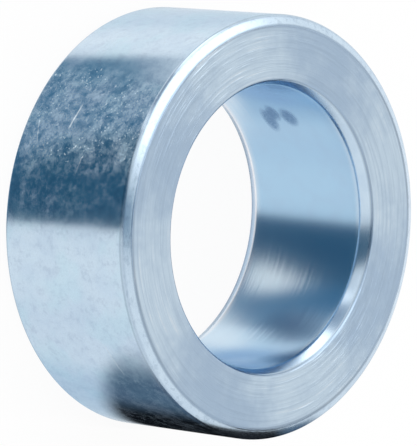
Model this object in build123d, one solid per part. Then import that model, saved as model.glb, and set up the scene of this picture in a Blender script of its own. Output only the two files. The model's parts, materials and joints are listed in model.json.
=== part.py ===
from build123d import *
import os

# Spacer sleeve: one plain ring, turned from steel and zinc plated. All sizes are in millimetres.
# It stands on one end face, with its bore along +Z and the origin at the centre of the lower face.

# The ring
outer_diameter = 30.0
bore_diameter = 20.0
sleeve_length = 12.0

# Both outer edges are chamfered, flatly: further in across the end face than down the side.
outer_chamfer_across_face = 0.75
outer_chamfer_down_side = 0.35

# Both mouths of the bore open in a steep lead-in, so that a bolt or a shaft enters freely.
lead_in_across_face = 0.40
lead_in_down_bore = 0.90

# Tumbling and plating round the corners: tightly where the surface turns sharply, and with a
# wide radius where it turns little.
sharp_turn_radius = 0.35
slight_turn_radius = 0.80


def section_outline():
    """Corners of the wall's lower half, as (distance from the axis, height, corner radius)."""
    outer_radius = outer_diameter / 2
    bore_radius = bore_diameter / 2
    return [
        (bore_radius, lead_in_down_bore, slight_turn_radius),
        (bore_radius + lead_in_across_face, 0, sharp_turn_radius),
        (outer_radius - outer_chamfer_across_face, 0, slight_turn_radius),
        (outer_radius, outer_chamfer_down_side, sharp_turn_radius),
    ]


def wall_section():
    """Cross-section of the wall: the lower corners, then the same corners mirrored at the top."""
    lower = section_outline()
    upper = [(x, sleeve_length - z, radius) for x, z, radius in reversed(lower)]
    corners = lower + upper
    with BuildSketch(Plane.XZ) as section:
        with BuildLine():
            FilletPolyline(
                *[(x, z) for x, z, radius in corners],
                radius=[radius for x, z, radius in corners],
                close=True,
            )
        make_face()
    return section.sketch


def spacer_sleeve():
    """The whole ring: its wall section turned once round the bore axis."""
    return revolve(wall_section(), axis=Axis.Z, revolution_arc=360)


os.makedirs("parts", exist_ok=True)
export_step(spacer_sleeve(), "parts/spacer_sleeve.step")
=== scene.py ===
import bpy
import json
from math import atan, cos, pi, radians, sin, tan
from mathutils import Matrix, Vector


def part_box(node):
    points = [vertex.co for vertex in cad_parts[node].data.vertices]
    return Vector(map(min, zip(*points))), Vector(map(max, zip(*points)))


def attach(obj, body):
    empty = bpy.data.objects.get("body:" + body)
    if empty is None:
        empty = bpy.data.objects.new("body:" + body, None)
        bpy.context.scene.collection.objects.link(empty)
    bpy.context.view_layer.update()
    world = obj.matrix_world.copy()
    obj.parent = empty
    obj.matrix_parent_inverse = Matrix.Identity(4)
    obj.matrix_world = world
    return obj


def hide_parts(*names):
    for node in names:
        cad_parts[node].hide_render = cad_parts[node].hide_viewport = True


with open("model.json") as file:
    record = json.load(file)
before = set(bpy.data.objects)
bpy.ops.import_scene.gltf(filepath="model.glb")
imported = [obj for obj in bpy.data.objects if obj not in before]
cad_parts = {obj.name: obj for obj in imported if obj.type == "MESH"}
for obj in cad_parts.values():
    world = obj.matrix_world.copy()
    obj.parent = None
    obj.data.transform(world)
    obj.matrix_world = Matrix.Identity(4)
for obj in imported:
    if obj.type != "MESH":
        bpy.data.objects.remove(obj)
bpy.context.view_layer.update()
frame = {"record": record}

# ---------------------------------------------------------------------------------------------
# Spacer sleeve: a short thick ring, parted off from steel bar and bored through. Both ends are
# faced on the lathe and all four edges are broken, and it is then tumbled and zinc plated, with
# a bright blue passivation. It is one piece, and nothing is fixed to it.
# ---------------------------------------------------------------------------------------------
MM = 0.001
low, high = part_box("spacer_sleeve")
outer_radius = (high.x - low.x) / 2
sleeve_length = high.z - low.z
bore_mount = next(m for m in frame["record"]["mounts"] if m["name"] == "bore")
bore_radius = bore_mount["dims"]["r_mm"] * MM
chamfer_across_face = 0.75 * MM
chamfer_down_side = 0.35 * MM
lead_in_across_face = 0.40 * MM
lead_in_down_bore = 0.90 * MM
sharp_turn_radius = 0.35 * MM
slight_turn_radius = 0.80 * MM
turning_steps = 288
tiny = 0.001 * MM


def select_points(mesh, wanted):
    """Leaves just the points selected whose place the test wanted(co) accepts. Edit mode."""
    bpy.ops.mesh.select_all(action="DESELECT")
    bpy.ops.object.mode_set(mode="OBJECT")
    for point in mesh.vertices:
        point.select = wanted(point.co)
    bpy.ops.object.mode_set(mode="EDIT")


# The wall's section starts as a rectangle that stands beside the bore axis.
bpy.ops.object.select_all(action="DESELECT")
bpy.ops.mesh.primitive_plane_add(size=1, rotation=(pi / 2, 0, 0))
sleeve = bpy.context.object
sleeve.name = sleeve.data.name = "turned_sleeve"
sleeve.scale = (outer_radius - bore_radius, sleeve_length, 1)
sleeve.location = ((outer_radius + bore_radius) / 2, 0, sleeve_length / 2)
bpy.ops.object.transform_apply(location=True, rotation=True, scale=True)
bpy.ops.object.mode_set(mode="EDIT")
bpy.ops.mesh.select_mode(type="VERT")

# Each corner is cut evenly along both legs, and the leg on the side or in the bore is then moved
# to its own length.
for rim, across, along in (
    (outer_radius, chamfer_across_face, chamfer_down_side),
    (bore_radius, lead_in_across_face, lead_in_down_bore),
):
    select_points(sleeve.data, lambda co: abs(co.x - rim) < tiny)
    bpy.ops.mesh.bevel(affect="VERTICES", offset=across, segments=1)
    for end, inwards in ((0, 1), (sleeve_length, -1)):
        leg_end = end + inwards * across
        select_points(sleeve.data, lambda co: abs(co.x - rim) < tiny and abs(co.z - leg_end) < tiny)
        bpy.ops.transform.translate(value=(0, 0, inwards * (along - across)))

# Tumbling rounds what the cutting left: tightly at the sharp turns, widely at the slight ones.
chamfer_turn = atan(chamfer_across_face / chamfer_down_side)
lead_in_turn = atan(lead_in_down_bore / lead_in_across_face)
for corner_x, depth, radius, turn in (
    (outer_radius, chamfer_down_side, sharp_turn_radius, chamfer_turn),
    (outer_radius - chamfer_across_face, 0, slight_turn_radius, pi / 2 - chamfer_turn),
    (bore_radius + lead_in_across_face, 0, sharp_turn_radius, lead_in_turn),
    (bore_radius, lead_in_down_bore, slight_turn_radius, pi / 2 - lead_in_turn),
):
    select_points(
        sleeve.data,
        lambda co: abs(co.x - corner_x) < tiny
        and abs(min(co.z, sleeve_length - co.z) - depth) < tiny,
    )
    bpy.ops.mesh.bevel(affect="VERTICES", offset=radius * tan(turn / 2), segments=7, profile=0.5)

# The section is turned once round the bore axis, as the lathe turned the ring.
bpy.ops.mesh.select_all(action="SELECT")
bpy.ops.mesh.delete(type="ONLY_FACE")
bpy.ops.mesh.select_all(action="SELECT")
bpy.ops.mesh.spin(steps=turning_steps, angle=2 * pi, center=(0, 0, 0), axis=(0, 0, 1))
bpy.ops.mesh.select_all(action="SELECT")
bpy.ops.mesh.remove_doubles(threshold=tiny)
bpy.ops.mesh.normals_make_consistent(inside=False)
bpy.ops.object.mode_set(mode="OBJECT")
bpy.ops.object.shade_smooth()


class Value:
    """A shader socket that takes part in Python sums: each operator adds its Math node."""

    def __init__(self, tree, socket=None):
        self.tree = tree
        self.socket = socket

    def node(self, kind, settings, sockets, output=0):
        """Adds a node, sets it up, fills its sockets, and returns the output that is asked for."""
        made = self.tree.nodes.new(kind)
        for name, setting in settings.items():
            setattr(made, name, setting)
        for name, value in sockets.items():
            if isinstance(value, Value):
                self.tree.links.new(value.socket, made.inputs[name])
            else:
                made.inputs[name].default_value = value
        return Value(self.tree, made.outputs[output])

    def maths(self, operation, *others):
        """The Math node of that operation, with this value first."""
        return self.node("ShaderNodeMath", {"operation": operation}, dict(enumerate((self, *others))))

    def step(self, start, end, low=0.0, high=1.0):
        """Goes smoothly from low to high as this value goes from start to end."""
        sockets = {"Value": self, "From Min": start, "From Max": end, "To Min": low, "To Max": high}
        return self.node("ShaderNodeMapRange", {"interpolation_type": "SMOOTHSTEP"}, sockets)

    def __add__(self, other):
        return self.maths("ADD", other)

    def __sub__(self, other):
        return self.maths("SUBTRACT", other)

    def __mul__(self, other):
        return self.maths("MULTIPLY", other)

    def __truediv__(self, other):
        return self.maths("DIVIDE", other)

    def __rsub__(self, other):
        return self.node("ShaderNodeMath", {"operation": "SUBTRACT"}, {0: other, 1: self})

    __radd__ = __add__
    __rmul__ = __mul__


def mix(factor, first, second):
    """The colour between first and second at that factor."""
    settings = {"data_type": "RGBA", "clamp_factor": True}
    return factor.node("ShaderNodeMix", settings, {0: factor, 6: first, 7: second}, output=2)


zinc = bpy.data.materials.new("blue_zinc_plating")
zinc.use_nodes = True
zinc.node_tree.nodes.clear()
metal = Value(zinc.node_tree)

# Places on the ring, in millimetres: across the table, up the bore axis, out from the axis, in
# from the nearer end, and round the axis in degrees.
place = metal.node("ShaderNodeTexCoord", {}, {}, output="Object")
place_mm = metal.node("ShaderNodeVectorMath", {"operation": "SCALE"}, {0: place, "Scale": 1 / MM})
x, y, z = [metal.node("ShaderNodeSeparateXYZ", {}, {0: place_mm}, output=axis) for axis in "XYZ"]
out = (x * x + y * y).maths("SQRT")
around = y.maths("ARCTAN2", x) * (180 / pi)
inwards = z.maths("MINIMUM", sleeve_length / MM - z)
bore_mm, outer_mm, length_mm = bore_radius / MM, outer_radius / MM, sleeve_length / MM

in_bore = out.step(bore_mm + 0.20, bore_mm + 0.03) * inwards.step(0.85, 1.5)
on_end = out.step(bore_mm + 0.34, bore_mm + 0.48) * out.step(outer_mm - 0.62, outer_mm - 0.85)
on_rim = out.step(outer_mm - 0.80, outer_mm - 0.72) * inwards.step(0.40, 0.30)
on_side = out.step(outer_mm - 0.12, outer_mm - 0.01)


def stretched(across, along):
    """Places for a grain that is fine across the turning and long round the ring."""
    return metal.node("ShaderNodeCombineXYZ", {}, {0: x * along, 1: y * along, 2: across})


def noise(vector, scale, detail=2.0, roughness=0.5):
    """A cloudy grain from 0 to 1, with that many clouds to a millimetre."""
    sockets = {"Vector": vector, "Scale": scale, "Detail": detail, "Roughness": roughness}
    return metal.node("ShaderNodeTexNoise", {}, sockets)


# A patchy haze that tumbling in the barrel and the plating bath leave. It is thickest where the
# ring has rubbed, on two opposite stripes of its side.
rubbed_at = 245
clouds = noise(place_mm, 0.50, 3.0, 0.6)
mottle = noise(place_mm, 1.5, 5.0, 0.78)
worn = ((around - rubbed_at) * (2 * pi / 180)).maths("COSINE").step(0.78, 0.98)
haze = (clouds * 0.35 + mottle * 0.65 + worn * 0.08).step(0.44, 0.74, 0.0, 0.50)
haze = haze * (0.5 + worn * 0.5)

# Scuffs: small bare nicks where rings have knocked together, in loose fields.
fleck_grain = noise(place_mm, 6.0, 1.0)
fleck_fields = noise(place_mm, 0.30, 2.0)
fleck_fields = (fleck_fields * 0.8 + worn * 0.25).step(0.55, 0.75)
flecks = fleck_grain.step(0.66, 0.76) * fleck_fields * on_side


def scratch(start, start_height, finish, finish_height, width):
    """1 along a straight scratch on the side, between two angles (degrees) and heights (mm)."""
    run = (finish - start) * pi / 180 * outer_mm
    climb = finish_height - start_height
    length = (run * run + climb * climb) ** 0.5
    over = (around - start) * (pi / 180 * outer_mm)
    above = z - start_height
    along = (over * run + above * climb) / length
    off = (over * climb - above * run).maths("ABSOLUTE") / length
    return off.step(width, 0) * along.step(0, 0.3) * along.step(length, length - 0.3)


scratches = scratch(-118.9, 5.06, -110.6, 4.68, 0.11)
for start, start_height, finish, finish_height, width in (
    (-113.6, 1.51, -106.1, 2.15, 0.08),
    (-124.0, 1.55, -121.6, 1.75, 0.08),
    (-104.0, 6.90, -99.0, 6.60, 0.07),
    (-52.0, 8.10, -41.0, 8.60, 0.08),
    (38.0, 3.20, 49.0, 3.90, 0.09),
    (118.0, 7.60, 124.0, 7.20, 0.08),
):
    scratches = scratches + scratch(start, start_height, finish, finish_height, width) * 0.5
scratches = scratches * on_side * (0.3 + mottle)


def smudge(angle, height, reach, spread):
    """1 at the middle of a soft stain in the bore, that far round (degrees) and along (mm)."""
    off_round = (around - angle) / reach
    off_along = (z - height) / spread
    return (off_round * off_round + off_along * off_along).step(1.0, 0.0)


# Three soft stains lie close together, where drops of the bath dried.
stains = smudge(141.0, 4.7, 8.0, 0.8) + smudge(145.5, 5.5, 6.0, 0.7)
stains = stains + smudge(143.5, 6.8, 6.5, 0.9)
stains = stains * (0.30 + fleck_grain * 1.3) * in_bore

# Turning marks: round the bore, the side and the chamfers they run as fine threads, and on the
# end faces as rings about the axis. The boring bar chattered towards the lower end. The lead-in
# is a little hollow, so it shines as if it lay flatter.
side_threads = noise(stretched(z, 0.10), 5.0, 3.0, 0.6)
bore_threads = noise(stretched(z, 0.03), 2.0, 2.0, 0.5)
chatter = z.step(length_mm - 2.5, 2.0, 0.08, 0.20)
face_rings = noise(stretched(out, 0.035), 5.0, 3.0, 0.6)
relief = on_side * side_threads * 0.02
relief = relief + in_bore * bore_threads * chatter
relief = relief + on_end * face_rings * 0.9 + on_rim * side_threads * 0.12
down_lead_in = inwards.maths("MINIMUM", lead_in_down_bore / MM)
relief = relief + down_lead_in * out.step(bore_mm + 2, bore_mm + 1) * 2.5
normal = metal.node("ShaderNodeBump", {}, {"Strength": 1.0, "Distance": 0.06 * MM, "Height": relief})

# The passivation's colour: bright on the outside and a deeper blue in the bore, with cloudy,
# greenish and dull places.
bright = (0.63, 0.765, 0.885, 1)
bore_blue = (0.44, 0.65, 0.84, 1)
cloudy_blue = (0.42, 0.56, 0.74, 1)
greenish = (0.52, 0.78, 0.87, 1)
dull = (0.36, 0.44, 0.58, 1)
colour = mix(in_bore, bright, bore_blue)
colour = mix(clouds.step(0.35, 0.68) * (1 - on_end) * 0.22, colour, cloudy_blue)
colour = mix(noise(place_mm, 0.30, 3.0).step(0.44, 0.62) * on_side * 0.30, colour, greenish)
colour = mix(mottle.step(0.52, 0.34) * on_side * 0.28, colour, dull)
colour = mix(flecks + scratches, colour, (0.78, 0.85, 0.91, 1))
colour = mix(stains, colour, (0.17, 0.30, 0.48, 1))

# Painted shade: thin dark lines along the turns beside the chamfers and the lead-ins. Dark nicks on the
# chamfers.
painted_turn_shade = (out - (outer_mm - 0.80)).maths("ABSOLUTE").step(0.20, 0.03) * 0.7
painted_turn_shade = painted_turn_shade + (out - (bore_mm + 0.42)).maths("ABSOLUTE").step(0.15, 0.02) * 0.7
painted_turn_shade = painted_turn_shade + (inwards - 0.42).maths("ABSOLUTE").step(0.16, 0.03) * on_side * 0.45
colour = mix(painted_turn_shade, colour, (0.20, 0.27, 0.36, 1))
chamfer_dark = (0.20, 0.28, 0.40, 1)
nicks = noise(stretched(z * 1.5, 0.5), 4.0, 2.0)
colour = mix(on_rim * nicks.step(0.50, 0.70) * 0.22, colour, chamfer_dark)
# The outer part of each chamfer is painted darker, a painted shade that keeps its highlight narrow.
colour = mix(on_rim * out.step(outer_mm - 0.30, outer_mm - 0.12) * 0.30, colour, chamfer_dark)

# The faced ends: a painted sheen of four light and dark fields that swirl a little, standing in
# for the light that the tool's rings throw, with fine dark rings all over and painted glints of fine
# light rings in the light fields.
painted_sheen_fields = ((around - out * 2.5 + 6) * (4 * pi / 180)).maths("COSINE") + (clouds - 0.5) * 3.4
painted_ring_glints = face_rings.step(0.44, 0.30) * on_end * painted_sheen_fields.step(0, 1.2) * 0.5
colour = mix(painted_sheen_fields.step(1.3, -1.3) * on_end * 0.85, colour, (0.41, 0.54, 0.70, 1))
colour = mix(face_rings.step(0.46, 0.66) * on_end * 0.32, colour, (0.36, 0.47, 0.60, 1))
colour = mix(painted_ring_glints, colour, (0.86, 0.91, 0.95, 1))
roughness = 0.22 - on_side * 0.06 + on_end * 0.06 + flecks * 0.3 + stains * 0.1
whole = 1 - on_side * haze * (1 - on_end) - flecks * 0.45 - scratches * 0.6

plating = metal.node("ShaderNodeBsdfPrincipled", {}, {
    "Base Color": colour,
    "Metallic": whole,
    "Roughness": roughness,
    "Normal": normal,
})
surface = zinc.node_tree.nodes.new("ShaderNodeOutputMaterial")
zinc.node_tree.links.new(plating.socket, surface.inputs["Surface"])
sleeve.data.materials.append(zinc)

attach(sleeve, "root")
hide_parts("spacer_sleeve")

# ---------------------------------------------------------------------------------------------
# Black card: stands close beside the ring, so that one side of the metal reflects black. The
# camera doesn't see it, and it casts no shadow.
# ---------------------------------------------------------------------------------------------
bpy.ops.object.select_all(action="DESELECT")
bpy.ops.mesh.primitive_plane_add(size=1, rotation=(0, pi / 2, 0))
card = bpy.context.object
card.name = "black_card"
card.scale = (16 * MM, 30 * MM, 1)
card.location = (outer_radius + 0.45 * MM, 0, 5.0 * MM)
bpy.ops.object.transform_apply(location=True, rotation=True, scale=True)
card.visible_camera = card.visible_transmission = card.visible_shadow = False
felt = bpy.data.materials.new("black_card")
felt.use_nodes = True
felt.node_tree.nodes.clear()
cloth = Value(felt.node_tree)

# The card is black in its middle and dark blue beside it, and it fades out to its sides and
# towards the table.
card_place = cloth.node("ShaderNodeTexCoord", {}, {}, output="Object")
along = cloth.node("ShaderNodeSeparateXYZ", {}, {0: card_place}, output="Y") / MM
up = cloth.node("ShaderNodeSeparateXYZ", {}, {0: card_place}, output="Z") / MM
off_middle = along.maths("ABSOLUTE")
cover = off_middle.step(14.8, 8.2) * (up - off_middle * 0.34).step(-1.9, 1.2)
felt_colour = mix(off_middle.step(3.5, 7.0), (0.003, 0.004, 0.006, 1), (0.10, 0.155, 0.22, 1))
black = cloth.node("ShaderNodeEmission", {}, {"Color": felt_colour, "Strength": 1.0})
clear = cloth.node("ShaderNodeBsdfTransparent", {}, {"Color": (1, 1, 1, 1)})
shade = cloth.node("ShaderNodeMixShader", {}, {0: cover, 1: clear, 2: black})
surface = felt.node_tree.nodes.new("ShaderNodeOutputMaterial")
felt.node_tree.links.new(shade.socket, surface.inputs["Surface"])
card.data.materials.append(felt)

# ---------------------------------------------------------------------------------------------
# Lamps under the bore: two soft ones shine up through it, and the gap beside them stays dark.
# Only the bore's wall sees them.
# ---------------------------------------------------------------------------------------------
bpy.ops.object.select_all(action="DESELECT")
bpy.ops.mesh.primitive_circle_add(radius=1.25 * outer_radius, vertices=64, fill_type="NGON")
lamps = bpy.context.object
lamps.name = "lamps_under_bore"
lamps.location = (0, 0, -0.5 * outer_radius)
bpy.ops.object.transform_apply(location=True, rotation=True, scale=True)
lamps.visible_camera = lamps.visible_diffuse = lamps.visible_transmission = lamps.visible_shadow = False
glass = bpy.data.materials.new("lamps_under_bore")
glass.use_nodes = True
glass.node_tree.nodes.clear()
pane = Value(glass.node_tree)
pane_place = pane.node("ShaderNodeTexCoord", {}, {}, output="Object")
pane_x = pane.node("ShaderNodeSeparateXYZ", {}, {0: pane_place}, output="X") / outer_radius
pane_y = pane.node("ShaderNodeSeparateXYZ", {}, {0: pane_place}, output="Y") / outer_radius


def glow(middle_side, middle_rise, reach, spread, slant):
    """1 at the middle of a soft oval, that long and wide, whose length slants that many degrees."""
    off_side = pane_y - middle_side
    off_rise = 0 - pane_x - middle_rise
    along = (off_side * cos(radians(slant)) + off_rise * sin(radians(slant))) / reach
    across = (off_rise * cos(radians(slant)) - off_side * sin(radians(slant))) / spread
    return (along * along + across * across).step(1.0, 0.15)


# Blue light fills the pane's middle, a dark gap lies beyond it, and two warm lamps stand in it.
clear = pane.node("ShaderNodeBsdfTransparent", {}, {"Color": (1, 1, 1, 1)})
blue = pane.node("ShaderNodeEmission", {}, {"Color": (0.42, 0.55, 0.72, 1), "Strength": 1.0})
gap = pane.node("ShaderNodeEmission", {}, {"Color": (0.06, 0.11, 0.19, 1), "Strength": 1.0})
warm = pane.node("ShaderNodeEmission", {}, {"Color": (1.0, 0.80, 0.68, 1), "Strength": 1.7})
shade = pane.node("ShaderNodeMixShader", {}, {0: glow(1.08, 0.0, 0.85, 0.34, 90), 1: clear, 2: blue})
shade = pane.node("ShaderNodeMixShader", {}, {0: glow(0.40, 0.76, 0.42, 0.32, -30), 1: shade, 2: gap})
lit = glow(0.03, 0.31, 0.33, 0.13, 136) + glow(0.58, 0.10, 0.34, 0.24, 50) * 0.6
shade = pane.node("ShaderNodeMixShader", {}, {0: lit, 1: shade, 2: warm})
surface = glass.node_tree.nodes.new("ShaderNodeOutputMaterial")
glass.node_tree.links.new(shade.socket, surface.inputs["Surface"])
lamps.data.materials.append(glass)

# ---------------------------------------------------------------------------------------------
# White table that the ring stands on. It is white by itself for the most part, so that the ring
# throws only a faint shadow on it. The metal doesn't see it.
# ---------------------------------------------------------------------------------------------
bpy.ops.object.select_all(action="DESELECT")
bpy.ops.mesh.primitive_circle_add(radius=4.0, vertices=96, fill_type="NGON")
table = bpy.context.object
table.name = "white_table"
table.visible_glossy = False
white = bpy.data.materials.new("white_table")
white.use_nodes = True
white.node_tree.nodes.clear()
top = Value(white.node_tree)
paper = top.node("ShaderNodeBsdfDiffuse", {}, {"Color": (1, 1, 1, 1)})
shine = top.node("ShaderNodeEmission", {}, {"Color": (1, 1, 1, 1), "Strength": 1.0})
shade = top.node("ShaderNodeMixShader", {}, {0: 0.94, 1: paper, 2: shine})
surface = white.node_tree.nodes.new("ShaderNodeOutputMaterial")
white.node_tree.links.new(shade.socket, surface.inputs["Surface"])
table.data.materials.append(white)

# ---------------------------------------------------------------------------------------------
# Studio room: white all round, with a dark part behind the ring on one side, above the edge of
# a light bench, and a few lamps. The metal shows it; all else is lit by plain white.
# ---------------------------------------------------------------------------------------------
world = bpy.data.worlds.new("studio_room")
bpy.context.scene.world = world
world.use_nodes = True
world.node_tree.nodes.clear()
room = Value(world.node_tree)
way = room.node("ShaderNodeTexCoord", {}, {}, output="Generated")
east, side, high = [room.node("ShaderNodeSeparateXYZ", {}, {0: way}, output=axis) for axis in "XYZ"]
rise = 0 - east


def patch(side, rise, high, reach, edge):
    """1 within that many degrees of a direction, with an edge that soft."""
    middle = Vector((-rise, side, high)).normalized()
    settings = {"operation": "DOT_PRODUCT"}
    near = room.node("ShaderNodeVectorMath", settings, {0: way, 1: middle}, output="Value")
    return near.step(cos(radians(reach + edge)), cos(radians(reach - edge)))


# Quiet light that the metal shows: the bench, the wall that the end faces mirror, the places
# near the table that the side and the bore mirror, and a grey part of the far wall.
white_wall = (1, 1, 1, 1)
colour = mix(rise.step(-0.117, -0.135), white_wall, (0.91, 0.92, 0.93, 1))
colour = mix(patch(0.728, 0.0, 0.686, 26, 10), colour, (0.78, 0.785, 0.79, 1))
colour = mix(patch(0.63, 0.37, -0.686, 13, 13), colour, (0.74, 0.81, 0.87, 1))
colour = mix(patch(0.50, -0.53, -0.686, 18, 16), colour, (0.58, 0.68, 0.77, 1))
colour = mix(patch(-0.20, -0.70, -0.686, 10, 10), colour, (0.84, 0.86, 0.89, 1))
colour = mix(patch(-0.66, 0.75, 0.0, 24, 6), colour, (0.50, 0.56, 0.64, 1))
colour = mix(patch(-0.50, 0.84, 0.22, 13, 5), colour, (0.30, 0.38, 0.48, 1))

# The dark part: deep blue, and darker still in its far corner.
dark = side.step(0.10, 0.01) * rise.step(-0.135, -0.117) * (rise + high * 0.4).step(0.56, 0.44)
dusk = mix(side.step(-0.50, -0.64), (0.08, 0.20, 0.31, 1), (0.035, 0.11, 0.18, 1))
colour = mix(dark, colour, dusk)

# The lamps: a tall strip in the dark part, and two broad ones above it.
strip = (rise + side).maths("ABSOLUTE").step(0.14, 0.07) * side.step(-0.35, -0.45)
strip = strip * high.step(-0.50, -0.38) * high.step(0.45, 0.30)
colour = mix(strip, colour, (1.5, 1.5, 1.5, 1))
colour = mix(patch(-0.03, 0.99, 0.09, 14, 5), colour, (2.1, 2.1, 2.1, 1))
colour = mix(patch(0.15, 0.62, 0.77, 27, 6), colour, (1.9, 1.9, 1.9, 1))
metal_ray = room.node("ShaderNodeLightPath", {}, {}, output="Is Glossy Ray")
colour = mix(metal_ray, white_wall, colour)
sky = room.node("ShaderNodeBackground", {}, {"Color": colour, "Strength": 1.0})
surface = world.node_tree.nodes.new("ShaderNodeOutputWorld")
world.node_tree.links.new(sky.socket, surface.inputs["Surface"])

# ---------------------------------------------------------------------------------------------
# Camera: looks down at the ring along a long lens, turned a quarter turn on its own axis, so
# that the ring seems to stand on its side.
# ---------------------------------------------------------------------------------------------
view_distance = 23.196 * outer_radius
look_down_angle = 43.30
roll_angle = 95.875
camera_data = bpy.data.cameras.new("camera")
camera = bpy.data.objects.new("camera", camera_data)
bpy.context.scene.collection.objects.link(camera)
bpy.context.scene.camera = camera
camera_data.lens = 400
camera_data.sensor_width = 36
camera_data.clip_start = 0.01
camera_data.clip_end = 10
tilt = Matrix.Rotation(radians(90 - look_down_angle), 3, "X")
turn = tilt @ Matrix.Rotation(radians(roll_angle), 3, "Z")
right, upward, back = turn.col
aim = Vector((0, 0, sleeve_length)) - outer_radius * (0.3082 * right - 0.0226 * upward)
camera.matrix_world = Matrix.Translation(aim + view_distance * back) @ turn.to_4x4()

bpy.context.scene.view_settings.view_transform = "Standard"
